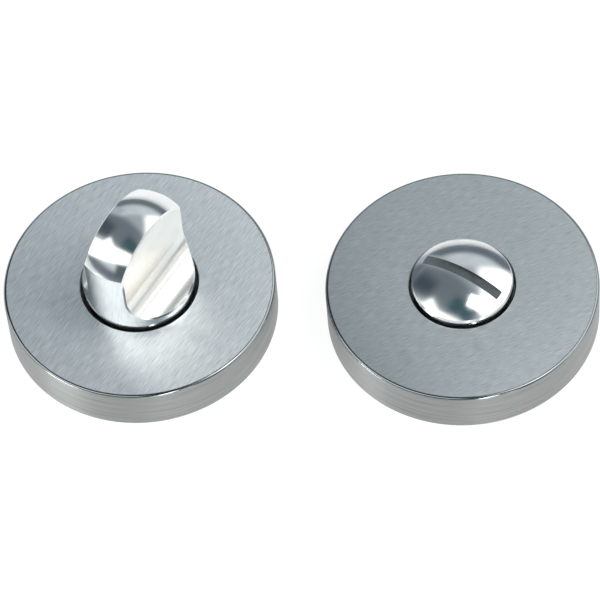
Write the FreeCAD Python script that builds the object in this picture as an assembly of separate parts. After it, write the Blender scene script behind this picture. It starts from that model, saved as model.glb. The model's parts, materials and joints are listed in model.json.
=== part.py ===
"""Bathroom thumb turn lock: a thumb turn half and an emergency release half.

Each half is a rose that is fixed to one face of a door. Here the two halves lie side by
side, face up, with the door's face at z = 0 and what enters the door below it.
Millimetres throughout. A half is built about its own axis, with the grip along Y and the
bolts along X, and is then turned and moved to its place.
"""

import FreeCAD, Part
import math
import os

from FreeCAD import Vector

# Layout of the two halves
HALVES_APART = 9.5
LAY_TURN = -30.0

# Rose cover: a pressed cap, wide enough to hide the fixings
ROSE_HEIGHT = 9.0
COVER_WALL = 1.5
COVER_FACE = 1.5
COVER_CORNER_R = 1.0
INNER_BEVEL = 0.5
HOLE_BEVEL = 0.2

# Base plate: a casting with a hub, a rim and ribs
COVER_GAP = 0.2
RIM_WALL = 1.4
FLOOR = 3.0
HUB_WALL = 2.4
HUB_HEIGHT = 5.5
HUB_BEVEL = 0.6
RIB = 1.6
RIB_ANGLES = (30.0, 60.0)
RECESS_DEPTH = 3.0
RECESS_PLAY = 0.6

# Flat wire ring that holds the cover on the rim
SNAP_Z = 3.6
SNAP_THICKNESS = 0.9
SNAP_WIDTH = 0.9
SNAP_OPENING = 24.0
SNAP_BITE = 0.15
GROOVE_PLAY = 0.15

# Turning parts: the neck runs in a flanged bush
NECK_R = 7.0
NECK_BELOW = 6.5
NECK_CHAMFER = 0.4
FLAT_CUT = 0.8
RUNNING = 0.05
FIT = 0.05
BUSH_WALL = 1.35
FLANGE_REACH = 1.6
FLANGE = 0.8

# Thumb turn knob
KNOB_R = 10.8
KNOB_GAP = 0.45
GRIP_TOP = 21.3
GRIP_RISE = 5.8
GRIP_THICKNESS = 8.8
SCOOP_FLOOR = 2.4
SCOOP_R = 6.0
GRIP_BEVEL = 0.25

# Release head
HEAD_R = 9.65
HEAD_GAP = 0.4
HEAD_EDGE = 1.3
HEAD_RISE = 2.8
HEAD_BEVEL = 0.3
SLOT_WIDTH = 2.0
SLOT_DEPTH = 2.0

# Square spindle and its grub screw
SPINDLE = 8.0
SPINDLE_BELOW = 45.0
SPINDLE_CHAMFER = 0.6
SOCKET_TOP = 5.0
SOCKET_PLAY = 0.05
GRUB_R = 2.0
GRUB_Z = -3.5
GRUB_KEY = 2.0
GRUB_KEY_DEPTH = 1.6

# Stop washer, retaining ring and wave washer, in the recess of the plate
WASHER = 0.9
WASHER_WIDTH = 2.4
TAB_REACH = 2.6
TAB_HALF = 9.0
TAB_REST = 45.0
TAB_PLAY = 0.4
TAB_END_PLAY = 1.5
RING = 0.9
RING_WIDTH = 2.0
RING_Z = 0.4
RING_OPENING = 44.0
RING_GROOVE = 0.3
LUG_R = 1.15
LUG_HOLE_R = 0.5
WAVE_SHEET = 0.3
WAVE_WIDTH = 1.7
WAVE_CLEAR = 0.6
WAVES = 3

# Fixings on a circle of screw holes
FIXING_R = 19.0
BOLT_R = 2.0
BOLT_CORE_R = 1.8
BOLT_HOLE_PLAY = 0.25
BOLT_HEAD_R = 3.75
HEAD_MARGIN = 0.15
BOLT_BELOW = 34.0
BOLT_TIP = 0.6
BOLT_STEP = 0.2
RECESS_ARM = 2.1
RECESS_SLIT = 0.9
RECESS_DRIVE = 1.6
WOOD_HOLE_R = 1.9
WOOD_HEAD_R = 3.5
SLEEVE_R = 3.0
SLEEVE_FLANGE_R = 3.7
SLEEVE_FLANGE = 0.8
SLEEVE_BELOW = 16.0
SLEEVE_BORE_R = 1.65
SLEEVE_BORE_TOP = 1.5

# Sizes that follow
RIM_BORE_R = FIXING_R + BOLT_HEAD_R + HEAD_MARGIN
PLATE_R = RIM_BORE_R + RIM_WALL
COVER_BORE_R = PLATE_R + COVER_GAP
ROSE_R = COVER_BORE_R + COVER_WALL
HALF_SPACING = 2 * ROSE_R + HALVES_APART
CEILING = ROSE_HEIGHT - COVER_FACE
RIM_TOP = CEILING - COVER_GAP
FLAT = NECK_R - FLAT_CUT
RING_R = NECK_R + RING_WIDTH
WASHER_R = NECK_R + WASHER_WIDTH
TAB_R = WASHER_R + TAB_REACH
RECESS_R = WASHER_R + RECESS_PLAY
HUB_R = TAB_R + TAB_PLAY + HUB_WALL
SNAP_R = COVER_BORE_R + SNAP_BITE
SNAP_LOW = SNAP_Z - SNAP_THICKNESS / 2
SNAP_HIGH = SNAP_Z + SNAP_THICKNESS / 2
BUSH_BORE_R = NECK_R + RUNNING
BUSH_R = BUSH_BORE_R + BUSH_WALL
HUB_BORE_R = BUSH_R + FIT
FLANGE_R = BUSH_R + FLANGE_REACH
SHOULDER = HUB_HEIGHT + FLANGE + RUNNING
SOCKET = SPINDLE + 2 * SOCKET_PLAY
WASHER_Z = RING_Z + RING + FIT
WAVE_LOW = WASHER_Z + WASHER + FIT
WAVE_HIGH = RECESS_DEPTH - 2 * FIT
UP = Vector(0, 0, 1)
REACH = 2 * ROSE_R


def rod(radius, low, high):
    """Upright cylinder between two heights."""
    return Part.makeCylinder(radius, high - low, Vector(0, 0, low))


def cone(radius_low, radius_high, low, high):
    """Upright cone between two heights."""
    return Part.makeCone(radius_low, radius_high, high - low, Vector(0, 0, low))


def tube(bore, radius, low, high):
    """Upright ring between two heights."""
    return rod(radius, low, high).cut(rod(bore, low, high))


def block(half_x, half_y, low, high):
    """Upright bar centred on the axis."""
    return Part.makeBox(2 * half_x, 2 * half_y, high - low, Vector(-half_x, -half_y, low))


def sector(radius, middle, half_angle, low, high):
    """Wedge of a cylinder, its middle at an angle from X."""
    wedge = Part.makeCylinder(radius, high - low, Vector(0, 0, low), UP, 2 * half_angle)
    return turned(wedge, middle - half_angle)


def turned(shape, degrees):
    """Copy of a shape turned about the upright axis."""
    copy = shape.copy()
    copy.rotate(Vector(), UP, degrees)
    return copy


def moved(shape, x, y):
    """Copy of a shape moved in plan."""
    copy = shape.copy()
    copy.translate(Vector(x, y, 0))
    return copy


def revolved(profile):
    """Solid of revolution from (radius, height) corners."""
    corners = [Vector(radius, 0, height) for radius, height in profile]
    face = Part.Face(Part.makePolygon(corners + corners[:1]))
    return face.revolve(Vector(), UP, 360)


def circles(shape, radius, height):
    """Level round edges of a given radius at a given height."""
    found = []
    for edge in shape.Edges:
        if edge.Degenerated or not isinstance(edge.Curve, Part.Circle):
            continue
        level = abs(edge.Curve.Center.z - height) < 1e-6
        if level and abs(edge.Curve.Radius - radius) < 1e-6:
            found.append(edge)
    return found


def opposite(shape, radius, along_y=False):
    """Two copies on opposite sides of the axis, on X or on Y."""
    if along_y:
        return [moved(shape, 0, radius), moved(shape, 0, -radius)]
    return [moved(shape, radius, 0), moved(shape, -radius, 0)]


def rose_cover(hole_r):
    """Cap with a rounded corner, a hole for the knob and a groove for the snap ring."""
    groove_r = SNAP_R + GROOVE_PLAY
    groove_low = SNAP_LOW - GROOVE_PLAY
    groove_high = SNAP_HIGH + GROOVE_PLAY
    cap = revolved([
        (COVER_BORE_R, 0), (ROSE_R, 0), (ROSE_R, ROSE_HEIGHT), (hole_r, ROSE_HEIGHT),
        (hole_r, CEILING), (COVER_BORE_R - INNER_BEVEL, CEILING),
        (COVER_BORE_R, CEILING - INNER_BEVEL), (COVER_BORE_R, groove_high),
        (groove_r, groove_high), (groove_r, groove_low), (COVER_BORE_R, groove_low),
    ])
    cap = cap.makeChamfer(HOLE_BEVEL, circles(cap, hole_r, ROSE_HEIGHT))
    return cap.makeFillet(COVER_CORNER_R, circles(cap, ROSE_R, ROSE_HEIGHT))


def snap_ring():
    """Open ring of flat wire, half in the plate's groove and half in the cover's."""
    ring = tube(SNAP_R - SNAP_WIDTH, SNAP_R, SNAP_LOW, SNAP_HIGH)
    return ring.cut(sector(ROSE_R, 90, SNAP_OPENING / 2, SNAP_LOW, SNAP_HIGH))


def plate_body():
    """Turned form of the base plate: rim with groove, floor, hub and recess."""
    groove_r = SNAP_R - SNAP_WIDTH - GROOVE_PLAY
    groove_low = SNAP_LOW - GROOVE_PLAY
    groove_high = SNAP_HIGH + GROOVE_PLAY
    return revolved([
        (RECESS_R, 0), (PLATE_R, 0), (PLATE_R, groove_low), (groove_r, groove_low),
        (groove_r, groove_high), (PLATE_R, groove_high), (PLATE_R, RIM_TOP - INNER_BEVEL),
        (PLATE_R - INNER_BEVEL, RIM_TOP), (RIM_BORE_R, RIM_TOP), (RIM_BORE_R, FLOOR),
        (HUB_R, FLOOR), (HUB_R, HUB_HEIGHT - HUB_BEVEL), (HUB_R - HUB_BEVEL, HUB_HEIGHT),
        (HUB_BORE_R, HUB_HEIGHT), (HUB_BORE_R, RECESS_DEPTH), (RECESS_R, RECESS_DEPTH),
    ])


def ribs():
    """Radial ribs from the hub to the rim, clear of the four fixing holes."""
    overlap = RIM_WALL / 4
    length = RIM_BORE_R - HUB_R + 2 * overlap
    rib = Part.makeBox(length, RIB, HUB_HEIGHT - HUB_BEVEL - FLOOR / 2)
    rib.translate(Vector(HUB_R - overlap, -RIB / 2, FLOOR / 2))
    return [turned(rib, quarter + angle) for quarter in (0, 90, 180, 270) for angle in RIB_ANGLES]


def countersink(hole_r, head_r):
    """Cutter for a screw hole whose 90 degree head lies flush with the floor."""
    depth = head_r - hole_r
    return rod(hole_r, -1, FLOOR).fuse(cone(hole_r, head_r, FLOOR - depth, FLOOR))


def base_plate(fixing_cutter):
    """Casting with its stop window, two fixing holes on X and two wood screw holes on Y."""
    plate = plate_body().fuse(ribs()).removeSplitter()
    window = sector(TAB_R + TAB_PLAY, 0, TAB_REST + TAB_HALF + TAB_END_PLAY, 0, RECESS_DEPTH)
    wood = countersink(WOOD_HOLE_R, WOOD_HEAD_R)
    cutters = opposite(fixing_cutter, FIXING_R) + opposite(wood, FIXING_R, along_y=True)
    return plate.cut([window] + cutters).removeSplitter()


def bearing_bush():
    """Flanged plain bush that lines the hub."""
    barrel = tube(BUSH_BORE_R, BUSH_R, RECESS_DEPTH, HUB_HEIGHT)
    flange = tube(BUSH_BORE_R, FLANGE_R, HUB_HEIGHT, HUB_HEIGHT + FLANGE)
    return barrel.fuse(flange).removeSplitter()


def neck():
    """Neck below the shoulder: flats for the stop washer and a groove for the ring."""
    body = rod(NECK_R, -NECK_BELOW, SHOULDER)
    body = body.makeChamfer(NECK_CHAMFER, circles(body, NECK_R, -NECK_BELOW))
    flats_top = WASHER_Z + WASHER + FIT
    lower = rod(REACH, -NECK_BELOW, flats_top)
    keyed = block(FLAT, NECK_R, -NECK_BELOW, flats_top)
    body = body.cut(lower.cut(keyed))
    groove = tube(NECK_R - RING_GROOVE, REACH, RING_Z - FIT, RING_Z + RING + FIT)
    return body.cut(groove)


def socket():
    """Cutter for the square socket that takes the spindle from behind."""
    return block(SOCKET / 2, SOCKET / 2, -NECK_BELOW, SOCKET_TOP)


def dome_blank(radius, edge_z, rise):
    """Turned blank: a straight edge under a spherical top."""
    sphere_r = (radius ** 2 + rise ** 2) / (2 * rise)
    half_r = radius / 2
    half_z = edge_z + rise - sphere_r + math.sqrt(sphere_r ** 2 - half_r ** 2)
    rim = Vector(radius, 0, edge_z)
    pole = Vector(0, 0, edge_z + rise)
    crown = Part.Arc(rim, Vector(half_r, 0, half_z), pole).toShape()
    rest = Part.makePolygon([pole, Vector(0, 0, SHOULDER), Vector(radius, 0, SHOULDER), rim])
    return Part.Face(Part.Wire([crown] + rest.Edges)).revolve(Vector(), UP, 360)


def finger_scoop():
    """Cutter for one side of the grip: an upright wall that curves out to a level floor."""
    wall_x = GRIP_THICKNESS / 2
    floor_z = ROSE_HEIGHT + SCOOP_FLOOR
    tangent_z = floor_z + SCOOP_R
    top_z = ROSE_HEIGHT + GRIP_TOP + 1
    bend = SCOOP_R * (1 - math.sqrt(0.5))
    start = Vector(wall_x, 0, tangent_z)
    middle = Vector(wall_x + bend, 0, floor_z + bend)
    end = Vector(wall_x + SCOOP_R, 0, floor_z)
    curve = Part.Arc(start, middle, end).toShape()
    outer_x = KNOB_R + 1
    rest = Part.makePolygon([
        end, Vector(outer_x, 0, floor_z), Vector(outer_x, 0, top_z), Vector(wall_x, 0, top_z), start,
    ])
    cutter = Part.Face(Part.Wire([curve] + rest.Edges)).extrude(Vector(0, 2 * KNOB_R, 0))
    cutter.translate(Vector(0, -KNOB_R, 0))
    return cutter


def grip():
    """Domed blank cut to a fin between two finger scoops, its edges eased."""
    blank = dome_blank(KNOB_R, ROSE_HEIGHT + GRIP_TOP - GRIP_RISE, GRIP_RISE)
    scoop = finger_scoop()
    body = turned(blank, 90).cut([scoop, turned(scoop, 180)]).removeSplitter()
    above = [edge for edge in body.Edges if edge.BoundBox.ZMin > ROSE_HEIGHT]
    steep = [edge for edge in above if edge.BoundBox.ZLength > GRIP_BEVEL]
    sharp = [edge for edge in steep if abs(edge.BoundBox.Center.x) > GRIP_THICKNESS / 4]
    return body.makeChamfer(GRIP_BEVEL, sharp)


def knob():
    """Thumb turn knob: grip, neck, square socket and a tapped hole for the grub screw."""
    body = grip().fuse(neck()).removeSplitter()
    hole = Part.makeCylinder(GRUB_R, NECK_R, Vector(0, 0, GRUB_Z), Vector(0, 1, 0))
    return body.cut([socket(), hole])


def grub_screw():
    """Grub screw against the spindle, with a hexagon socket."""
    length = NECK_R - FIT - SPINDLE / 2
    start = Vector(0, SPINDLE / 2, GRUB_Z)
    out = Vector(0, 1, 0)
    screw = Part.makeCylinder(GRUB_R - FIT, length, start, out)
    key_r = GRUB_KEY / math.sqrt(3)
    end_y = SPINDLE / 2 + length
    corners = []
    for step in range(7):
        angle = math.radians(60 * step)
        corners.append(Vector(key_r * math.cos(angle), end_y, GRUB_Z + key_r * math.sin(angle)))
    key = Part.Face(Part.makePolygon(corners)).extrude(Vector(0, -GRUB_KEY_DEPTH, 0))
    return screw.cut(key)


def spindle():
    """Square bar from the knob through the door, its ends chamfered."""
    bar = block(SPINDLE / 2, SPINDLE / 2, -SPINDLE_BELOW, SOCKET_TOP - FIT)
    level = [edge for edge in bar.Edges if edge.BoundBox.ZLength < FIT]
    return bar.makeChamfer(SPINDLE_CHAMFER, level)


def release_head():
    """Domed head with a coin slot, on the same neck and socket as the knob."""
    edge_z = ROSE_HEIGHT + HEAD_EDGE
    top_z = edge_z + HEAD_RISE
    head = dome_blank(HEAD_R, edge_z, HEAD_RISE)
    head = head.makeChamfer(HEAD_BEVEL, circles(head, HEAD_R, edge_z))
    slot = block(HEAD_R, SLOT_WIDTH / 2, top_z - SLOT_DEPTH, top_z)
    return head.fuse(neck()).removeSplitter().cut([slot, socket()])


def stop_washer(rest_angle):
    """Washer keyed on the neck's flats, whose tab runs in the plate's stop window."""
    top = WASHER_Z + WASHER
    disc = rod(WASHER_R, WASHER_Z, top)
    tab = sector(TAB_R, rest_angle, TAB_HALF, WASHER_Z, top)
    keyhole = rod(NECK_R + FIT, WASHER_Z, top).common(block(FLAT + FIT, REACH, WASHER_Z, top))
    return disc.fuse(tab).removeSplitter().cut(keyhole)


def retaining_ring():
    """Open ring in the neck's groove, with a plier hole in each lug."""
    high = RING_Z + RING
    bore = NECK_R - RING_GROOVE + FIT / 2
    ring = rod(RING_R, RING_Z, high)
    lug_at = RING_R - LUG_R / 2
    holes = []
    for side in (1, -1):
        angle = -90 + side * (RING_OPENING / 2 + math.degrees(LUG_R / lug_at))
        lug = turned(moved(rod(LUG_R, RING_Z, high), lug_at, 0), angle)
        ring = ring.fuse(lug)
        holes.append(turned(moved(rod(LUG_HOLE_R, RING_Z, high), lug_at, 0), angle))
    opening = sector(REACH, -90, RING_OPENING / 2, RING_Z, high)
    return ring.removeSplitter().cut([rod(bore, RING_Z, high), opening] + holes)


def wave_edge(radius):
    """Closed curve that rises and falls as it goes round the axis."""
    middle = (WAVE_LOW + WAVE_HIGH - WAVE_SHEET) / 2
    swing = (WAVE_HIGH - WAVE_LOW - WAVE_SHEET) / 2
    steps = 4 * WAVES
    points = []
    for step in range(steps):
        angle = 2 * math.pi * step / steps
        height = middle + swing * math.cos(WAVES * angle)
        points.append(Vector(radius * math.cos(angle), radius * math.sin(angle), height))
    curve = Part.BSplineCurve()
    curve.interpolate(points, PeriodicFlag=True)
    return curve.toShape()


def wave_washer():
    """Thin spring washer that takes up the end play of the neck."""
    bore = NECK_R + WAVE_CLEAR
    sheet = Part.makeRuledSurface(wave_edge(bore), wave_edge(bore + WAVE_WIDTH))
    return sheet.extrude(Vector(0, 0, WAVE_SHEET))


def fixing_bolts():
    """Two countersunk machine bolts that reach through the door."""
    slope = BOLT_HEAD_R - BOLT_R
    head = cone(BOLT_R, BOLT_HEAD_R, FLOOR - slope, FLOOR)
    shank = rod(BOLT_R, -BOLT_STEP, FLOOR - slope)
    core = rod(BOLT_CORE_R, BOLT_TIP - BOLT_BELOW, -BOLT_STEP)
    tip = cone(BOLT_CORE_R - BOLT_TIP, BOLT_CORE_R, -BOLT_BELOW, BOLT_TIP - BOLT_BELOW)
    bolt = head.fuse([shank, core, tip]).removeSplitter()
    drive_low = FLOOR - RECESS_DRIVE
    drive = block(RECESS_ARM, RECESS_SLIT / 2, drive_low, FLOOR)
    bolt = bolt.cut([drive, turned(drive, 90)])
    return Part.makeCompound(opposite(bolt, FIXING_R))


def bolt_cutter():
    """Countersunk hole for a machine bolt."""
    return countersink(BOLT_R + BOLT_HOLE_PLAY, BOLT_HEAD_R + FIT)


def sleeve_nuts():
    """Two flanged sleeves, tapped from the door side to take the bolts."""
    body = rod(SLEEVE_R, -SLEEVE_BELOW, FLOOR - SLEEVE_FLANGE)
    flange = rod(SLEEVE_FLANGE_R, FLOOR - SLEEVE_FLANGE, FLOOR)
    bore = rod(SLEEVE_BORE_R, -SLEEVE_BELOW, SLEEVE_BORE_TOP)
    nut = body.fuse(flange).removeSplitter().cut(bore)
    return Part.makeCompound(opposite(nut, FIXING_R))


def sleeve_cutter():
    """Stepped hole for a flanged sleeve."""
    hole = rod(SLEEVE_R + FIT, -1, FLOOR)
    seat = rod(SLEEVE_FLANGE_R + FIT, FLOOR - SLEEVE_FLANGE, FLOOR)
    return hole.fuse(seat)


def turn_half():
    """Pieces of the thumb turn half."""
    return {
        "turn_rose_cover": rose_cover(KNOB_R + KNOB_GAP),
        "turn_base_plate": base_plate(bolt_cutter()),
        "turn_snap_ring": snap_ring(),
        "turn_bearing_bush": bearing_bush(),
        "turn_knob": knob(),
        "turn_grub_screw": grub_screw(),
        "turn_spindle": spindle(),
        "turn_wave_washer": wave_washer(),
        "turn_stop_washer": stop_washer(TAB_REST),
        "turn_retaining_ring": retaining_ring(),
        "turn_fixing_bolts": fixing_bolts(),
    }


def release_half():
    """Pieces of the emergency release half."""
    return {
        "release_rose_cover": rose_cover(HEAD_R + HEAD_GAP),
        "release_base_plate": base_plate(sleeve_cutter()),
        "release_snap_ring": snap_ring(),
        "release_bearing_bush": bearing_bush(),
        "release_head": release_head(),
        "release_wave_washer": wave_washer(),
        "release_stop_washer": stop_washer(-TAB_REST),
        "release_retaining_ring": retaining_ring(),
        "release_sleeve_nuts": sleeve_nuts(),
    }


def main():
    """Write each piece in its place."""
    os.makedirs("parts", exist_ok=True)
    for pieces, centre_x in ((turn_half(), 0), (release_half(), HALF_SPACING)):
        for name, shape in pieces.items():
            placed = moved(turned(shape, LAY_TURN), centre_x, 0)
            placed.exportStep("parts/" + name + ".step")
            solids = len(placed.Solids)
            print(name, "solids", solids, "valid", placed.isValid(), "volume", round(placed.Volume, 1))


main()
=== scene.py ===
# %% [markdown]
# # Bathroom thumb turn lock
#
# Two round satin roses lie side by side, face up: the bathroom side with a thumb turn
# knob, and the outer side with a domed head that a coin can turn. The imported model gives
# every solid its place. This script dresses it: covers, knob and head get smooth meshes
# and finishes, and the pieces behind them get theirs.

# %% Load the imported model
import json
import math

import bmesh
import bpy
from mathutils import Matrix, Vector


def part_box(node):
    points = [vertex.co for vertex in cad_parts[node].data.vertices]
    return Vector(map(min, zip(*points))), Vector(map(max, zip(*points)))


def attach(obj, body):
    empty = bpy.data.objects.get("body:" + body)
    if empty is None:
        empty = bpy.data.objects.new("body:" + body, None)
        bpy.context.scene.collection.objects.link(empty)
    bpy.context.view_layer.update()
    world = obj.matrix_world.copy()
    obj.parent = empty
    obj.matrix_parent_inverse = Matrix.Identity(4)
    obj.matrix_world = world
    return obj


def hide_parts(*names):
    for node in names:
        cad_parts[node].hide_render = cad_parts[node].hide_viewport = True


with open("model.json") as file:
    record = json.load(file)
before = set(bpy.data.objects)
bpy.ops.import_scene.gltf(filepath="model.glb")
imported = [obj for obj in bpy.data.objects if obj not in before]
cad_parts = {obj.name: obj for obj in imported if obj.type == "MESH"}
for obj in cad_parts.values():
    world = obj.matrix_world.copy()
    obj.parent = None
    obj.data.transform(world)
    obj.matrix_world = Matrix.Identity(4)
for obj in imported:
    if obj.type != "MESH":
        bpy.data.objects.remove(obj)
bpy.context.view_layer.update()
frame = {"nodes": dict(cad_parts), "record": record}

nodes = frame["nodes"]

# %% [markdown]
# ## Sizes
# The covers are drawn again from a few sizes of the real caps, in metres. The axes of the
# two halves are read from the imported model, so a piece always sits where its solid does.

# %% Sizes and the two axes
MM = 0.001
ROSE_R = 26.0 * MM
ROSE_TOP = 9.0 * MM
COVER_WALL = 1.5 * MM
CORNER_R = 0.6 * MM
INNER_BEVEL = 0.5 * MM
HOLE_BEVEL = 0.2 * MM
TURN_HOLE_R, RELEASE_HOLE_R = 11.25 * MM, 10.05 * MM
TURN_GRAIN, RELEASE_GRAIN = 58, 26
GROOVE_LOW, GROOVE_HIGH, GROOVE_R = 3.0 * MM, 4.2 * MM, 24.8 * MM
STEPS, CORNER_STEPS = 288, 8


def axis_of(node):
    """Place of a round solid's axis in plan."""
    low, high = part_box(node)
    return Vector(((low.x + high.x) / 2, (low.y + high.y) / 2, 0))


turn_axis = axis_of("turn_rose_cover")
release_axis = axis_of("release_rose_cover")
print("axes", tuple(turn_axis), tuple(release_axis))


# %% [markdown]
# ## Small helpers for shader nodes
# A material is a short chain of nodes. Three helpers keep the cells short: one adds a
# node with its values, one starts a material with its Principled shader, and one starts
# a node group with named sockets.

# %% Node helpers
def add(tree, kind, **values):
    """New node. Names of sockets use _ for a space."""
    node = tree.nodes.new(kind)
    for name, value in values.items():
        if hasattr(node, name):
            setattr(node, name, value)
        else:
            node.inputs[name.replace("_", " ")].default_value = value
    return node


def new_material(name, **values):
    """Material with a Principled shader whose constant sockets are given."""
    material = bpy.data.materials.new(name)
    material.use_nodes = True
    tree = material.node_tree
    shader = tree.nodes["Principled BSDF"]
    for socket, value in values.items():
        shader.inputs[socket.replace("_", " ")].default_value = value
    return material, tree, shader


def new_group(name, inputs, outputs):
    """Shader node group with its input and output nodes."""
    group = bpy.data.node_groups.new(name, "ShaderNodeTree")
    for socket, kind, value in inputs:
        made = group.interface.new_socket(socket, in_out="INPUT", socket_type=kind)
        made.default_value = value
    for socket, kind in outputs:
        group.interface.new_socket(socket, in_out="OUTPUT", socket_type=kind)
    start = group.nodes.new("NodeGroupInput")
    end = group.nodes.new("NodeGroupOutput")
    return group, start, end


def place(tree, group, **values):
    """Group placed in a material, with its own values."""
    node = tree.nodes.new("ShaderNodeGroup")
    node.node_tree = group
    for socket, value in values.items():
        node.inputs[socket.replace("_", " ")].default_value = value
    return node


# %% [markdown]
# ## Brushed grain
# Satin steel is ground with an abrasive belt, which leaves fine straight scratches of
# many lengths. Noise that is stretched many times over in one direction looks the same.
# The belt's direction runs along U of each cover's own UV map, so one group serves the
# straight grain of a face and the round grain of a wall.

# %% Group: brushed grain
FLOAT, VECTOR = "NodeSocketFloat", "NodeSocketVector"

grain_group, start, end = new_group(
    "Brushed grain",
    [("Coordinate", VECTOR, (0, 0, 0)), ("Fine", FLOAT, 1.0), ("Length", FLOAT, 1.0)],
    [("Fine streaks", FLOAT), ("Broad streaks", FLOAT), ("Height", FLOAT)],
)
links = grain_group.links
squeeze = add(grain_group, "ShaderNodeCombineXYZ", Z=1.0)
links.new(start.outputs["Length"], squeeze.inputs["X"])
links.new(start.outputs["Fine"], squeeze.inputs["Y"])
scaled = add(grain_group, "ShaderNodeVectorMath", operation="MULTIPLY")
links.new(start.outputs["Coordinate"], scaled.inputs[0])
links.new(squeeze.outputs[0], scaled.inputs[1])
fine = add(grain_group, "ShaderNodeTexNoise", Scale=1.0, Detail=3.0, Roughness=0.65)
broad = add(grain_group, "ShaderNodeTexNoise", Scale=0.22, Detail=2.0, Roughness=0.5)
for noise in (fine, broad):
    links.new(scaled.outputs[0], noise.inputs["Vector"])
both = add(grain_group, "ShaderNodeMath", operation="MULTIPLY_ADD")
both.inputs[1].default_value = 0.4
links.new(broad.outputs["Fac"], both.inputs[0])
links.new(fine.outputs["Fac"], both.inputs[2])
links.new(fine.outputs["Fac"], end.inputs["Fine streaks"])
links.new(broad.outputs["Fac"], end.inputs["Broad streaks"])
links.new(both.outputs[0], end.inputs["Height"])
print("group", grain_group.name)

# %% [markdown]
# ## Handling haze
# Metal that is used carries faint smears and a little uneven polish. Soft noise in object
# coordinates shifts roughness and colour a little, so that no surface is quite even.

# %% Group: handling haze
haze_group, start, end = new_group(
    "Handling haze",
    [("Clean", FLOAT, 0.1), ("Smeared", FLOAT, 0.2), ("Scale", FLOAT, 120.0)],
    [("Roughness", FLOAT), ("Mask", FLOAT)],
)
links = haze_group.links
where = add(haze_group, "ShaderNodeTexCoord")
cloud = add(haze_group, "ShaderNodeTexNoise", Detail=4.0, Roughness=0.6)
links.new(where.outputs["Object"], cloud.inputs["Vector"])
links.new(start.outputs["Scale"], cloud.inputs["Scale"])
mask = add(haze_group, "ShaderNodeMapRange", interpolation_type="SMOOTHSTEP")
mask.inputs["From Min"].default_value = 0.35
mask.inputs["From Max"].default_value = 0.7
links.new(cloud.outputs["Fac"], mask.inputs["Value"])
spread = add(haze_group, "ShaderNodeMix", data_type="FLOAT")
links.new(mask.outputs["Result"], spread.inputs["Factor"])
links.new(start.outputs["Clean"], spread.inputs["A"])
links.new(start.outputs["Smeared"], spread.inputs["B"])
links.new(spread.outputs["Result"], end.inputs["Roughness"])
links.new(mask.outputs["Result"], end.inputs["Mask"])
print("group", haze_group.name)


# %% [markdown]
# ## Satin steel
# Brushed steel mirrors sharply along its scratches and blurs across them. The shader's
# anisotropy does that, with its tangent along U of the grain map. The streaks also change
# colour, roughness and a very low bump.

# %% Material: satin steel
UNEVEN = 0.06


def satin_steel(name, dark, light, fine, length, rough, bump):
    """Brushed steel whose grain follows the piece's own map."""
    material, tree, shader = new_material(
        name, Metallic=1.0, Anisotropic=0.8, Anisotropic_Rotation=0.25,
    )
    new_link = tree.links.new
    grain_map = add(tree, "ShaderNodeUVMap", uv_map="grain")
    grain = place(tree, grain_group, Fine=fine, Length=length)
    new_link(grain_map.outputs[0], grain.inputs["Coordinate"])
    shade = add(tree, "ShaderNodeMix", data_type="RGBA")
    shade.inputs["A"].default_value = (*dark, 1)
    shade.inputs["B"].default_value = (*light, 1)
    contrast = add(tree, "ShaderNodeMapRange", From_Min=0.35, From_Max=0.65)
    new_link(grain.outputs["Fine streaks"], contrast.inputs["Value"])
    new_link(contrast.outputs["Result"], shade.inputs["Factor"])
    new_link(shade.outputs["Result"], shader.inputs["Base Color"])
    spread = add(tree, "ShaderNodeMapRange", To_Min=rough - UNEVEN, To_Max=rough + UNEVEN)
    new_link(grain.outputs["Broad streaks"], spread.inputs["Value"])
    new_link(spread.outputs["Result"], shader.inputs["Roughness"])
    relief = add(tree, "ShaderNodeBump", Strength=bump, Distance=0.00002)
    new_link(grain.outputs["Height"], relief.inputs["Height"])
    new_link(relief.outputs["Normal"], shader.inputs["Normal"])
    along = add(tree, "ShaderNodeTangent", direction_type="UV_MAP", uv_map="grain")
    new_link(along.outputs["Tangent"], shader.inputs["Tangent"])
    return material


# The two faces are one satin steel, each with its own grain. Their colours differ: the turn
# face's are lighter, painted light, and the release face's are darker, painted shade.
turn_face_painted_light = satin_steel(
    "satin_face_turn_painted_light", (0.56, 0.61, 0.64), (0.90, 0.93, 0.95),
    fine=6.0, length=0.35, rough=0.38, bump=0.45,
)
release_face_painted_shade = satin_steel(
    "satin_face_release_painted_shade", (0.48, 0.51, 0.52), (0.70, 0.74, 0.75),
    fine=7.0, length=0.45, rough=0.36, bump=0.3,
)
# The wall is brushed round the cap. Its colours are much darker than the face's, though both are
# one sheet: painted shade.
rose_wall_painted_shade = satin_steel(
    "satin_wall_painted_shade", (0.25, 0.265, 0.26), (0.45, 0.465, 0.455),
    fine=8.0, length=0.05, rough=0.45, bump=0.25,
)
print("satin steels made")


# %% [markdown]
# ## Polished steel
# Knob, head and the eased corner of each cover are polished. They keep a slight blur, and
# the haze group makes it uneven.

# %% Material: polished steel
def polished_steel(name, color, clean, smeared, scale):
    """Polished steel with a little uneven haze."""
    material, tree, shader = new_material(name, Metallic=1.0, Base_Color=(*color, 1))
    haze = place(tree, haze_group, Clean=clean, Smeared=smeared, Scale=scale)
    tree.links.new(haze.outputs["Roughness"], shader.inputs["Roughness"])
    tint = add(tree, "ShaderNodeMix", data_type="RGBA")
    tint.inputs["A"].default_value = (*color, 1)
    tint.inputs["B"].default_value = (*(0.93 * value for value in color), 1)
    tree.links.new(haze.outputs["Mask"], tint.inputs["Factor"])
    tree.links.new(tint.outputs["Result"], shader.inputs["Base Color"])
    return material


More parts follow.
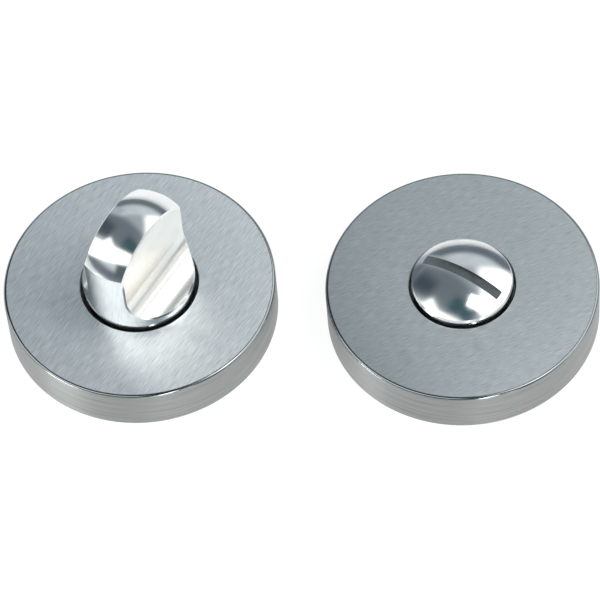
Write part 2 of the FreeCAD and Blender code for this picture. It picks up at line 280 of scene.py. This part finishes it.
knob_steel = polished_steel("polished_knob", (0.88, 0.90, 0.90), 0.12, 0.18, 260.0)
# The scoops are lapped, so they are rougher than the dome, and their steel is tinted warmer: a
# painted warm reflection.
scoop_steel_painted_reflection = polished_steel("lapped_scoop_painted_reflection", (0.90, 0.885, 0.84), 0.24, 0.27, 160.0)
head_steel = polished_steel("polished_head", (0.86, 0.88, 0.89), 0.12, 0.18, 300.0)
# The slot's steel is dark: painted shade in the recess. Its higher roughness is that of a milled
# cut.
slot_steel_painted_shade = polished_steel("milled_slot_painted_shade", (0.30, 0.32, 0.33), 0.24, 0.34, 300.0)
# The eased corners get a dark bluish steel colour: a painted dark reflection along each cover's
# outer corner, and painted shade at the eased edge of each hole.
corner_steel_painted_dark = polished_steel("polished_corner_painted_dark", (0.30, 0.33, 0.34), 0.10, 0.16, 500.0)
# The inside of each cap and the bore of its hole get a dark steel colour: painted shade under the
# cap and in the gap round knob and head.
inner_steel_painted_shade = polished_steel("pressed_inside_painted_shade", (0.34, 0.35, 0.35), 0.35, 0.5, 400.0)
print("polished steels made")


# %% [markdown]
# ## Pieces behind the roses
# The base plates are zinc castings with a grainy, matt skin. Bolts, sleeves, spindle and
# stop washers are bright plated, rings and wave washers are dark spring steel, and the
# bushes are off-white nylon.

# %% Materials: inner pieces
def grainy(name, color, metallic, rough, scale, bump):
    """Plain finish with a fine bump, for castings, plating, spring steel and nylon."""
    material, tree, shader = new_material(name, Metallic=metallic)
    haze = place(tree, haze_group, Clean=rough - 0.08, Smeared=rough + 0.08, Scale=scale)
    tree.links.new(haze.outputs["Roughness"], shader.inputs["Roughness"])
    tint = add(tree, "ShaderNodeMix", data_type="RGBA")
    tint.inputs["A"].default_value = (*color, 1)
    tint.inputs["B"].default_value = (*(0.82 * value for value in color), 1)
    tree.links.new(haze.outputs["Mask"], tint.inputs["Factor"])
    tree.links.new(tint.outputs["Result"], shader.inputs["Base Color"])
    where = add(tree, "ShaderNodeTexCoord")
    speck = add(tree, "ShaderNodeTexNoise", Scale=scale * 12, Detail=3.0)
    tree.links.new(where.outputs["Object"], speck.inputs["Vector"])
    relief = add(tree, "ShaderNodeBump", Strength=bump, Distance=0.00005)
    tree.links.new(speck.outputs["Fac"], relief.inputs["Height"])
    tree.links.new(relief.outputs["Normal"], shader.inputs["Normal"])
    return material


finishes = {
    "cast_zinc": grainy("cast_zinc", (0.46, 0.46, 0.45), 0.85, 0.55, 300.0, 0.5),
    "spring_steel": grainy("spring_steel", (0.20, 0.195, 0.19), 0.9, 0.35, 400.0, 0.1),
    "bright_steel": grainy("bright_steel", (0.62, 0.63, 0.60), 1.0, 0.30, 350.0, 0.1),
    "bearing_nylon": grainy("bearing_nylon", (0.80, 0.79, 0.74), 0.0, 0.45, 250.0, 0.08),
}
for part in frame["record"]["subparts"]:
    finish = finishes.get(part["material_slot"])
    if finish:
        mesh = nodes[part["node"]].data
        mesh.materials.clear()
        mesh.materials.append(finish)
print("finishes", sorted(finishes))


# %% [markdown]
# ## From bmesh to a piece
# Every new piece ends the same way: the bmesh becomes a mesh, edges that turn more than a
# set angle stay crisp, and the piece rides on the body that carries it, takes the finishes
# that it is given and stands for its CAD node.

# %% Helper: finish a piece
def new_object(bm, name, materials):
    """Object in the scene from a bmesh."""
    mesh = bpy.data.meshes.new(name)
    bm.to_mesh(mesh)
    bm.free()
    for material in materials:
        mesh.materials.append(material)
    made = bpy.data.objects.new(name, mesh)
    bpy.context.scene.collection.objects.link(made)
    print(name, "faces", len(mesh.polygons))
    return made


def finish_piece(bm, name, body, node, materials, crisp):
    """Object from a bmesh, riding on a body in place of a CAD node."""
    for face in bm.faces:
        face.smooth = True
    for edge in bm.edges:
        edge.smooth = len(edge.link_faces) == 2 and edge.calc_face_angle() < math.radians(crisp)
    piece = new_object(bm, name, materials)
    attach(piece, body)
    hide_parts(node)
    return piece


# %% [markdown]
# ## Rose covers
# The real cover is a cap, pressed from sheet and then brushed. Its section is drawn once
# as a flat polygon. A vertex bevel rounds the outer corner, and a full spin turns the
# section round the axis. That gives an exact circle and even quads, where a cut from
# solids would give slivers.

# %% Covers
FACE, CORNER, WALL, INSIDE = range(4)


def cover_section(bm, hole_r):
    """Outline of the cap's section, with its outer corner rounded."""
    bore = ROSE_R - COVER_WALL
    ceiling = ROSE_TOP - COVER_WALL
    outline = [
        (bore, 0), (ROSE_R, 0), (ROSE_R, ROSE_TOP), (hole_r + HOLE_BEVEL, ROSE_TOP),
        (hole_r, ROSE_TOP - HOLE_BEVEL), (hole_r, ceiling), (bore - INNER_BEVEL, ceiling),
        (bore, ceiling - INNER_BEVEL), (bore, GROOVE_HIGH), (GROOVE_R, GROOVE_HIGH),
        (GROOVE_R, GROOVE_LOW), (bore, GROOVE_LOW),
    ]
    corners = [bm.verts.new((radius, 0, height)) for radius, height in outline]
    face = bm.faces.new(corners)
    bmesh.ops.bevel(
        bm, geom=[corners[2]], affect="VERTICES", offset=CORNER_R, offset_type="OFFSET",
        segments=CORNER_STEPS, profile=0.5, material=-1,
    )
    bmesh.ops.delete(bm, geom=list(bm.faces), context="FACES_ONLY")


def lay_grain(bm, axis, grain_degrees):
    """Zones of the cover, and a map whose U runs along the brushing, in millimetres."""
    grain = bm.loops.layers.uv.new("grain")
    turn = Matrix.Rotation(-math.radians(grain_degrees), 2)
    for face in bm.faces:
        middle = face.calc_center_median()
        flat = abs(face.normal.z) > 0.999
        top = flat and middle.z > ROSE_TOP - 1e-6
        out = face.normal.to_2d().dot(middle.to_2d()) > 0
        eased = face.normal.z > 0.5
        radius = middle.to_2d().length
        if top:
            face.material_index = FACE
        elif eased and (radius > ROSE_R - CORNER_R or radius < ROSE_R / 2):
            face.material_index = CORNER
        elif out and radius > ROSE_R - COVER_WALL / 2:
            face.material_index = WALL
        else:
            face.material_index = INSIDE
        start_angle = math.atan2(middle.x, -middle.y)
        for loop in face.loops:
            spot = loop.vert.co
            if top:
                along = turn @ spot.to_2d()
                loop[grain].uv = along / MM
                continue
            angle = math.atan2(spot.x, -spot.y)
            angle += math.tau * round((start_angle - angle) / math.tau)
            loop[grain].uv = (angle * ROSE_R / MM, (spot.z - spot.to_2d().length) / MM)
    bmesh.ops.translate(bm, verts=list(bm.verts), vec=axis)


def rose_cover(name, node, hole_r, axis, grain_degrees, face_steel):
    """Brushed cap of one half."""
    bm = bmesh.new()
    cover_section(bm, hole_r)
    bmesh.ops.spin(
        bm, geom=list(bm.verts) + list(bm.edges), cent=(0, 0, 0), axis=(0, 0, 1), dvec=(0, 0, 0),
        angle=math.tau, steps=STEPS, use_merge=True,
    )
    bmesh.ops.recalc_face_normals(bm, faces=list(bm.faces))
    lay_grain(bm, axis, grain_degrees)
    steels = [face_steel, corner_steel_painted_dark, rose_wall_painted_shade, inner_steel_painted_shade]
    return finish_piece(bm, name, "roses", node, steels, 30)


rose_cover("turn_cover_skin", "turn_rose_cover", TURN_HOLE_R, turn_axis, TURN_GRAIN, turn_face_painted_light)
rose_cover(
    "release_cover_skin", "release_rose_cover", RELEASE_HOLE_R, release_axis, RELEASE_GRAIN,
    release_face_painted_shade,
)


# %% [markdown]
# ## Knob and release head
# Both are turned and milled from the bar, then polished. Their solids already have the
# right form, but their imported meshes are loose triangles, each flat on its own, and a
# mirror shows every facet. A copy is merged into one skin. Then each corner of a triangle
# takes the direction that the true ball, barrel or flat has at that spot, which gives a
# flowing reflection without more faces.

# %% True surfaces
TOUCH, MERGE = 0.004 * MM, 0.002 * MM


def ball(centre, radius):
    """Part of a sphere."""
    def at(spot):
        arm = spot - centre
        return arm.length - radius, arm.normalized()
    return at


def barrel(centre, axis, radius, hollow=False):
    """Part of a cylinder, seen from outside or from inside."""
    def at(spot):
        arm = spot - centre
        arm -= arm.dot(axis) * axis
        return arm.length - radius, arm.normalized() * (-1 if hollow else 1)
    return at


def flat(centre, normal):
    """Part of a plane."""
    def at(spot):
        return (spot - centre).dot(normal), normal
    return at


def normals_on(surface, spots, facing):
    """Normals of a true surface at a face's corners, or None where the face isn't on it."""
    found = [surface(spot) for spot in spots]
    if all(abs(gap) < TOUCH and normal.dot(facing) > 0.9 for gap, normal in found):
        return [normal for gap, normal in found]
    return None


def follow(mesh, surfaces):
    """Corner normals from the true surface that a face lies on."""
    normals = [corner.vector.copy() for corner in mesh.corner_normals]
    for face in mesh.polygons:
        spots = [mesh.vertices[index].co for index in face.vertices]
        for surface in surfaces:
            found = normals_on(surface, spots, face.normal)
            if found:
                for loop, normal in zip(face.loop_indices, found):
                    normals[loop] = normal
                break
    mesh.normals_split_custom_set(normals)


def polished_copy(name, node, body, steels, surfaces, second):
    """Merged copy of a solid's mesh. Faces on the surfaces in second take the second steel."""
    bm = bmesh.new()
    bm.from_mesh(nodes[node].data)
    bmesh.ops.remove_doubles(bm, verts=list(bm.verts), dist=MERGE)
    for face in bm.faces:
        spots = [vert.co for vert in face.verts]
        if any(normals_on(surface, spots, face.normal) for surface in second):
            face.material_index = 1
    piece = finish_piece(bm, name, body, node, steels, 25)
    follow(piece.data, surfaces)
    return piece


# %% [markdown]
# The knob is a round bar with a domed top, cut to a fin by two finger scoops. Each scoop
# has an upright wall that curves out to a level floor, and it is lapped less brightly
# than the dome. Its steel is also tinted warmer than the dome's: a painted reflection.

# %% Knob
UP = Vector((0, 0, 1))
KNOB_R, KNOB_RISE, KNOB_TOP = 10.8 * MM, 5.8 * MM, 30.3 * MM
GRIP_HALF, SCOOP_R, SCOOP_FLOOR = 4.4 * MM, 6.0 * MM, 11.4 * MM
HEAD_R, HEAD_RISE, HEAD_TOP = 9.65 * MM, 2.8 * MM, 13.1 * MM
SLOT_HALF, SLOT_FLOOR = 1.0 * MM, 11.1 * MM
lay = Matrix.Rotation(math.radians(-30), 3, "Z")
aside, along_grip = lay @ Vector((1, 0, 0)), lay @ Vector((0, 1, 0))


def dome(axis, radius, rise, top):
    """Ball of a domed top, from the radius of its edge and its rise."""
    ball_r = (radius ** 2 + rise ** 2) / (2 * rise)
    return ball(axis + UP * (top - ball_r), ball_r)


scoops = []
for side in (1, -1):
    centre = turn_axis + side * aside * (GRIP_HALF + SCOOP_R) + UP * (SCOOP_FLOOR + SCOOP_R)
    scoops.append(barrel(centre, along_grip, SCOOP_R, hollow=True))
    scoops.append(flat(turn_axis + side * aside * GRIP_HALF, side * aside))
scoops.append(flat(turn_axis + UP * SCOOP_FLOOR, UP))
knob_dome = dome(turn_axis, KNOB_R, KNOB_RISE, KNOB_TOP)
knob = polished_copy(
    "thumb_knob_skin", "turn_knob", "thumb_turn", [knob_steel, scoop_steel_painted_reflection],
    [knob_dome, barrel(turn_axis, UP, KNOB_R)] + scoops, scoops,
)

# %% [markdown]
# The head is a low dome with a slot that a coin fits. The slot is milled and not
# polished, so it is rougher, and its steel is given a dark colour: painted shade in the slot.

# %% Release head
slot = [flat(release_axis + UP * SLOT_FLOOR, UP)]
for side in (1, -1):
    slot.append(flat(release_axis + side * along_grip * SLOT_HALF, -side * along_grip))
head_dome = dome(release_axis, HEAD_R, HEAD_RISE, HEAD_TOP)
head = polished_copy(
    "coin_head_skin", "release_head", "release_turn", [head_steel, slot_steel_painted_shade],
    [head_dome, barrel(release_axis, UP, HEAD_R)] + slot, slot,
)


# %% [markdown]
# ## Threads
# The bolts are M4, with a pitch of 0.7 mm. A thread is a small ridge that climbs as it
# goes round, so four points of its section are spun round the bolt's axis with a lift in
# every step. It rides on the shank and stays inside the bolt's own size.

# %% Bolt threads
PITCH, RIDGE, THREAD_R, ROOT_R = 0.7 * MM, 0.26 * MM, 1.99 * MM, 1.78 * MM
THREAD_LOW, THREAD_HIGH, THREAD_STEPS = -33.2 * MM, -0.6 * MM, 28


def bolt_thread(name, axis):
    """Helical ridge along one bolt."""
    turns = int((THREAD_HIGH - THREAD_LOW) / PITCH)
    steps = turns * THREAD_STEPS
    bm = bmesh.new()
    section = [(ROOT_R, -RIDGE), (THREAD_R, -RIDGE / 4), (THREAD_R, RIDGE / 4), (ROOT_R, RIDGE)]
    foot = axis + Vector((0, 0, THREAD_LOW))
    points = [bm.verts.new(foot + Vector((radius, 0, height))) for radius, height in section]
    edges = [bm.edges.new(pair) for pair in zip(points, points[1:])]
    bmesh.ops.spin(
        bm, geom=points + edges, cent=axis, axis=(0, 0, 1), dvec=(0, 0, PITCH / THREAD_STEPS),
        angle=turns * math.tau, steps=steps,
    )
    bmesh.ops.recalc_face_normals(bm, faces=list(bm.faces))
    for face in bm.faces:
        face.smooth = True
    thread = new_object(bm, name, [finishes["bright_steel"]])
    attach(thread, "roses")


FIXING_R = 19.0 * MM
for name, side in (("upper_bolt_thread", -1), ("lower_bolt_thread", 1)):
    bolt_thread(name, turn_axis + side * aside * FIXING_R)


# %% [markdown]
# ## Floor, light and camera
# A white floor stands for the mounting surface, with a hole under each rose for what
# enters the door. Polished metal shows its surroundings, so the studio is what the steel
# mirrors: a white horizon, a dark band above it, a grey ceiling, large white panels on the
# left and on the right, and a narrow bright strip in front.

# %% Floor
FLOOR_HOLE_R = 25.9 * MM
FLOOR_HALF = 4.0
GLOW_SHARE, GLOW_STRENGTH = 0.8, 1.13


def paper_glow(tree, shader):
    """Shader of the floor: lit paper, mixed with its own white where camera and steel look."""
    path = add(tree, "ShaderNodeLightPath")
    seen = add(tree, "ShaderNodeMath", operation="MAXIMUM")
    tree.links.new(path.outputs["Is Camera Ray"], seen.inputs[0])
    tree.links.new(path.outputs["Is Glossy Ray"], seen.inputs[1])
    seen_all = add(tree, "ShaderNodeMath", operation="MAXIMUM")
    tree.links.new(seen.outputs[0], seen_all.inputs[0])
    tree.links.new(path.outputs["Is Transmission Ray"], seen_all.inputs[1])
    share = add(tree, "ShaderNodeMath", operation="MULTIPLY")
    share.inputs[1].default_value = GLOW_SHARE
    tree.links.new(seen_all.outputs[0], share.inputs[0])
    glow = add(tree, "ShaderNodeEmission", Color=(1, 1, 1, 1), Strength=GLOW_STRENGTH)
    mixed = add(tree, "ShaderNodeMixShader")
    tree.links.new(share.outputs[0], mixed.inputs[0])
    tree.links.new(shader.outputs[0], mixed.inputs[1])
    tree.links.new(glow.outputs[0], mixed.inputs[2])
    return mixed


def white_floor():
    """Plain floor with two holes. Its underside lets light and the eye through."""
    material, tree, shader = new_material(
        "floor_white", Base_Color=(0.86, 0.86, 0.86, 1), Roughness=0.9, Specular_IOR_Level=0.0,
    )
    lit = paper_glow(tree, shader)
    side = add(tree, "ShaderNodeNewGeometry")
    clear = add(tree, "ShaderNodeBsdfTransparent")
    both = add(tree, "ShaderNodeMixShader")
    tree.links.new(side.outputs["Backfacing"], both.inputs[0])
    tree.links.new(lit.outputs[0], both.inputs[1])
    tree.links.new(clear.outputs[0], both.inputs[2])
    tree.links.new(both.outputs[0], tree.nodes["Material Output"].inputs["Surface"])
    bm = bmesh.new()
    bmesh.ops.create_circle(bm, segments=4, radius=FLOOR_HALF)
    for axis in (turn_axis, release_axis):
        hole_place = Matrix.Translation(axis)
        bmesh.ops.create_circle(bm, segments=128, radius=FLOOR_HOLE_R, matrix=hole_place)
    bmesh.ops.triangle_fill(bm, edges=list(bm.edges), use_beauty=True, normal=(0, 0, 1))
    new_object(bm, "floor", [material])


white_floor()


# %% [markdown]
# The world is the studio that the steel mirrors. A gradient over height gives the white
# horizon and the grey room. Soft panels lie on top: each is a rectangle around one
# direction, with its own brightness and soft edges. One group makes the mask of a panel,
# so that a panel is one line in the list.

# %% Group: soft panel
panel_group, start, end = new_group(
    "Soft panel",
    [("Direction", VECTOR, (0, 0, 1)), ("Middle", VECTOR, (0, 0, 1)),
     ("Across", VECTOR, (1, 0, 0)), ("Upward", VECTOR, (0, 1, 0)),
     ("Half width", FLOAT, 0.3), ("Half height", FLOAT, 0.3), ("Soft", FLOAT, 0.1)],
    [("Mask", FLOAT)],
)
links = panel_group.links


def share_of(axis):
    """Part of the direction along one axis of the panel."""
    dot = add(panel_group, "ShaderNodeVectorMath", operation="DOT_PRODUCT")
    links.new(start.outputs["Direction"], dot.inputs[0])
    links.new(start.outputs[axis], dot.inputs[1])
    return dot.outputs["Value"]


def inside(offset, size):
    """One inside the panel's half size, falling to zero over the soft edge."""
    gap = add(panel_group, "ShaderNodeMath", operation="SUBTRACT")
    links.new(start.outputs[size], gap.inputs[0])
    links.new(offset, gap.inputs[1])
    edge = add(panel_group, "ShaderNodeMapRange", interpolation_type="SMOOTHSTEP")
    links.new(gap.outputs[0], edge.inputs["Value"])
    links.new(start.outputs["Soft"], edge.inputs["From Max"])
    return edge.outputs["Result"]


front = share_of("Middle")
ahead = add(panel_group, "ShaderNodeMath", operation="GREATER_THAN")
links.new(front, ahead.inputs[0])
mask = ahead.outputs[0]
for axis, size in (("Across", "Half width"), ("Upward", "Half height")):
    ratio = add(panel_group, "ShaderNodeMath", operation="DIVIDE")
    links.new(share_of(axis), ratio.inputs[0])
    links.new(front, ratio.inputs[1])
    offset = add(panel_group, "ShaderNodeMath", operation="ABSOLUTE")
    links.new(ratio.outputs[0], offset.inputs[0])
    both = add(panel_group, "ShaderNodeMath", operation="MULTIPLY")
    links.new(mask, both.inputs[0])
    links.new(inside(offset.outputs[0], size), both.inputs[1])
    mask = both.outputs[0]
links.new(mask, end.inputs["Mask"])
print("group", panel_group.name)

# %% [markdown]
# A panel is named by the direction that it is seen in, as steps from straight overhead:
# degrees to the right and degrees to the back. Its turn says how its long side lies.

# %% World
def overhead(right_degrees, back_degrees):
    """Direction so many degrees to the right and to the back of straight overhead."""
    lean = math.hypot(right_degrees, back_degrees)
    if lean == 0:
        return Vector((0, 0, 1))
    level = Vector((right_degrees, back_degrees, 0)) / lean
    return level * math.sin(math.radians(lean)) + Vector((0, 0, math.cos(math.radians(lean))))


def panel(tree, direction, below, spot, size, turn_degrees, soft, color):
    """Panel laid over what the world shows so far."""
    middle = overhead(*spot)
    across = Vector((0, 1, 0)).cross(middle).normalized()
    across = Matrix.Rotation(math.radians(turn_degrees), 3, middle) @ across
    upward = middle.cross(across)
    half_width, half_height = [math.tan(math.radians(degrees / 2)) for degrees in size]
    node = place(
        tree, panel_group, Middle=middle, Across=across, Upward=upward, Soft=soft,
        Half_width=half_width, Half_height=half_height,
    )
    tree.links.new(direction, node.inputs["Direction"])
    laid = add(tree, "ShaderNodeMix", data_type="RGBA")
    tree.links.new(node.outputs["Mask"], laid.inputs["Factor"])
    tree.links.new(below, laid.inputs["A"])
    laid.inputs["B"].default_value = (*color, 1)
    return laid.outputs["Result"]


def studio_world(stops, panels):
    """World with a gradient over height and soft panels."""
    world = bpy.data.worlds.new("studio")
    bpy.context.scene.world = world
    world.use_nodes = True
    tree = world.node_tree
    where = add(tree, "ShaderNodeTexCoord")
    direction = where.outputs["Generated"]
    height = add(tree, "ShaderNodeSeparateXYZ")
    tree.links.new(direction, height.inputs[0])
    ramp = add(tree, "ShaderNodeValToRGB")
    ramp.color_ramp.interpolation = "EASE"
    points = ramp.color_ramp.elements
    points[0].position, points[0].color = stops[0][0], (*stops[0][1], 1)
    points[1].position, points[1].color = stops[-1][0], (*stops[-1][1], 1)
    for position, color in stops[1:-1]:
        points.new(position).color = (*color, 1)
    tree.links.new(height.outputs["Z"], ramp.inputs["Fac"])
    seen = ramp.outputs["Color"]
    for values in panels:
        seen = panel(tree, direction, seen, *values)
    tree.links.new(seen, tree.nodes["Background"].inputs["Color"])
    return world


DARK, GREY, WHITE = (0.04, 0.09, 0.11), (0.36, 0.41, 0.44), (1.8, 1.8, 1.77)
studio_world(
    [
        (0.0, (0.86, 0.86, 0.85)), (0.10, (0.78, 0.79, 0.80)), (0.17, (0.14, 0.17, 0.20)),
        (0.34, (0.12, 0.15, 0.18)), (0.50, (0.60, 0.65, 0.68)), (0.66, (0.60, 0.65, 0.68)),
        (0.80, GREY), (1.0, GREY),
    ],
    [
        ((-40, 66), (60, 16), 0, 0.10, (0.42, 0.46, 0.48)),
        ((-18, 10), (100, 54), -40, 0.25, (0.15, 0.18, 0.20)),
        ((-44, 26), (44, 34), -40, 0.25, (0.05, 0.07, 0.09)),
        ((-3, -17), (40, 36), -40, 0.20, DARK),
        ((12, -56), (80, 56), 0, 0.20, (0.09, 0.12, 0.13)),
        ((-45, -19), (94, 30), -40, 0.08, WHITE),
        ((20, -67), (6, 36), 17, 0.03, (14.0, 14.0, 14.0)),
        ((-41, -7), (23, 24), 14, 0.12, WHITE),
        ((42, 12), (56, 76), 0, 0.30, WHITE),
        ((46, -66), (40, 14), 0, 0.10, (2.2, 2.2, 2.2)),
        ((75, -6), (16, 24), 0, 0.10, (2.0, 2.0, 2.0)),
    ],
)
print("world made")


# %% [markdown]
# Two soft boxes hang close by. Being near, each is seen from every spot of a face at
# another angle, so its soft light fades across the brushed steel. One is high on the
# right. The other is small and low at the front left, and lights the walls there.

# %% Near soft boxes
def soft_box(name, spot, aim, size, radiance):
    """Rectangular lamp that shines from its spot at the aim."""
    data = bpy.data.lights.new(name, "AREA")
    data.shape = "RECTANGLE"
    data.size, data.size_y = size
    data.energy = radiance * math.pi * size[0] * size[1]
    lamp = bpy.data.objects.new(name, data)
    bpy.context.scene.collection.objects.link(lamp)
    lamp.rotation_euler = (spot - aim).to_track_quat("Z", "Y").to_euler()
    lamp.location = spot
    print(name, "watts", round(data.energy, 3))


MIDDLE = (turn_axis + release_axis) / 2 + UP * ROSE_TOP
soft_box("high_soft_box", Vector((0.16, -0.04, 0.26)), MIDDLE, (0.08, 0.15), 2.8)
soft_box("low_soft_box", Vector((-0.115, -0.10, 0.014)), turn_axis, (0.06, 0.02), 16.0)


# %% [markdown]
# The camera stands where the photographer stood: the outlines of both roses and of their
# holes give its angle, its roll and its distance.

# %% Camera
PHOTO_AZIMUTH, PHOTO_ELEVATION, PHOTO_ROLL = 6.86, 55.98, -5.39
PHOTO_DISTANCE = 0.7877
PHOTO_TARGET = Vector((0.030118, 0.002154, 0.0))

SENSOR_MM, LENS_MM = 36.0, 246.0

camera_data = bpy.data.cameras.new("camera")
camera_data.sensor_width, camera_data.lens = SENSOR_MM, LENS_MM
camera_data.clip_start, camera_data.clip_end = 0.01, 20.0
camera = bpy.data.objects.new("camera", camera_data)
bpy.context.scene.collection.objects.link(camera)
turn, rise = math.radians(PHOTO_AZIMUTH), math.radians(PHOTO_ELEVATION)
back = Vector((math.sin(turn) * math.cos(rise), -math.cos(turn) * math.cos(rise), math.sin(rise)))
right = (-back).cross(Vector((0, 0, 1))).normalized()
up = right.cross(-back)
roll = math.radians(PHOTO_ROLL)
across = math.cos(roll) * right + math.sin(roll) * up
upward = math.cos(roll) * up - math.sin(roll) * right
axes = Matrix((across, upward, back)).transposed().to_4x4()
camera.matrix_world = Matrix.Translation(PHOTO_TARGET + back * PHOTO_DISTANCE) @ axes
bpy.context.scene.camera = camera
bpy.context.scene.view_settings.view_transform = "Standard"
print("camera at", tuple(camera.location))
